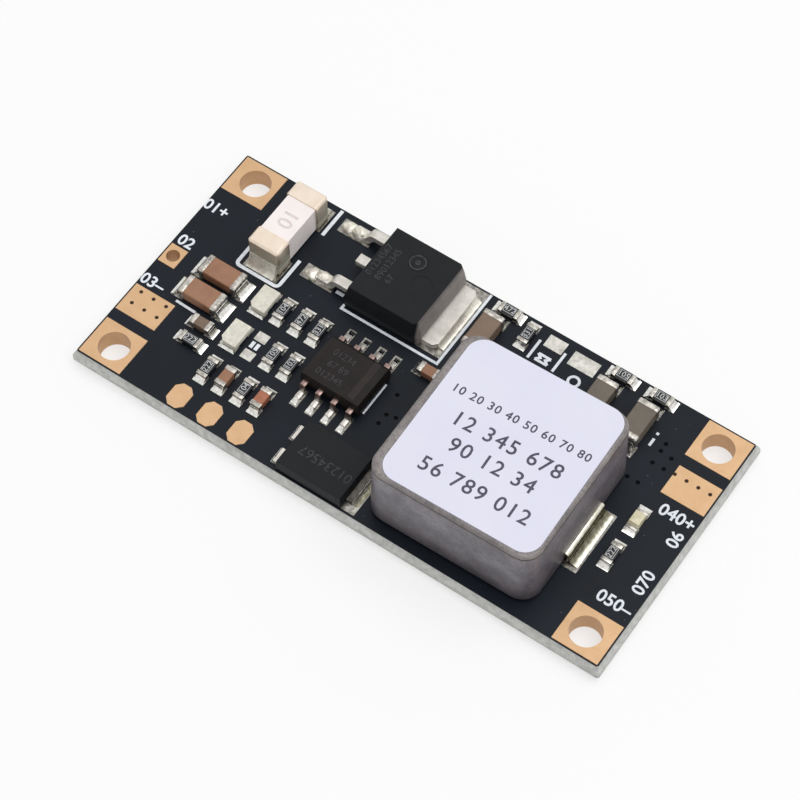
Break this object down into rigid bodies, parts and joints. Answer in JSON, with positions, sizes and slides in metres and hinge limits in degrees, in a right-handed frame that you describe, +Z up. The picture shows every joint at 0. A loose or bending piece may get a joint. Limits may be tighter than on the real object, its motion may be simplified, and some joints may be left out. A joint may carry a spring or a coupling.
{
  "type": "buck converter module",
  "caption": "Flat rectangular circuit board with plated corner holes, a tall square power inductor, a power transistor, a fuse and small surface-mounted parts.",
  "frame": {"origin": "centre of the board's underside", "axes": "+X along the board from the input end to the output end, +Y across it to the edge with the plus terminals, +Z up out of the face that carries the parts"},
  "size_m": [0.043, 0.0206, 0.0076],
  "materials": {
    "laminate": "glass fibre laminate, cut edge",
    "solder_mask": "dark solder mask, satin",
    "gold_plate": "thin gold plate, satin",
    "tin": "matt tin plate",
    "solder": "bright solder",
    "ceramic_white": "white ceramic",
    "ceramic_brown": "brown ceramic",
    "ceramic_grey": "grey brown ceramic",
    "resistor_coat": "black glass coat on ceramic",
    "mould_compound": "black moulding compound",
    "iron_powder": "pressed and coated metal powder",
    "label_film": "pale grey label film",
    "lens_resin": "cream resin"
  },
  "bodies": {
    "root": {"bare_lands": "tin", "capacitor_1": "ceramic_brown", "capacitor_2": "ceramic_brown", "capacitor_3": "ceramic_brown", "capacitor_4": "ceramic_brown", "capacitor_5": "ceramic_brown", "capacitor_6": "ceramic_brown", "capacitor_7": "ceramic_grey", "capacitor_8": "ceramic_grey", "capacitor_9": "ceramic_grey", "capacitor_caps": "tin", "circuit_board": "laminate", "controller_body": "mould_compound", "controller_leads_back": "tin", "controller_leads_front": "tin", "diode_anode_leads": "tin", "diode_body": "mould_compound", "diode_cathode_lead": "tin", "fuse_cap_back": "tin", "fuse_cap_front": "tin", "fuse_tube": "ceramic_white", "inductor_core": "iron_powder", "inductor_label": "label_film", "inductor_strap_input": "tin", "inductor_strap_output": "tin", "lamp_body": "lens_resin", "lamp_caps": "tin", "mosfet_body": "mould_compound", "mosfet_leads": "tin", "mosfet_tab": "tin", "resistor_1": "resistor_coat", "resistor_10": "resistor_coat", "resistor_11": "resistor_coat", "resistor_12": "resistor_coat", "resistor_13": "resistor_coat", "resistor_2": "resistor_coat", "resistor_3": "resistor_coat", "resistor_4": "resistor_coat", "resistor_5": "resistor_coat", "resistor_6": "resistor_coat", "resistor_7": "resistor_coat", "resistor_8": "resistor_coat", "resistor_9": "resistor_coat", "resistor_caps": "tin", "solder_joints": "solder", "solder_mask_bottom": "solder_mask", "solder_mask_top": "solder_mask", "strap_pad_input": "gold_plate", "strap_pad_output": "gold_plate", "terminal_enable": "gold_plate", "terminal_input_minus": "gold_plate", "terminal_input_plus": "gold_plate", "terminal_output_minus": "gold_plate", "terminal_output_plus": "gold_plate", "test_pads": "gold_plate", "tinned_lands": "tin", "white_chip_1": "ceramic_white", "white_chip_2": "ceramic_white", "white_chip_feet": "tin"}
  },
  "joints": []
}
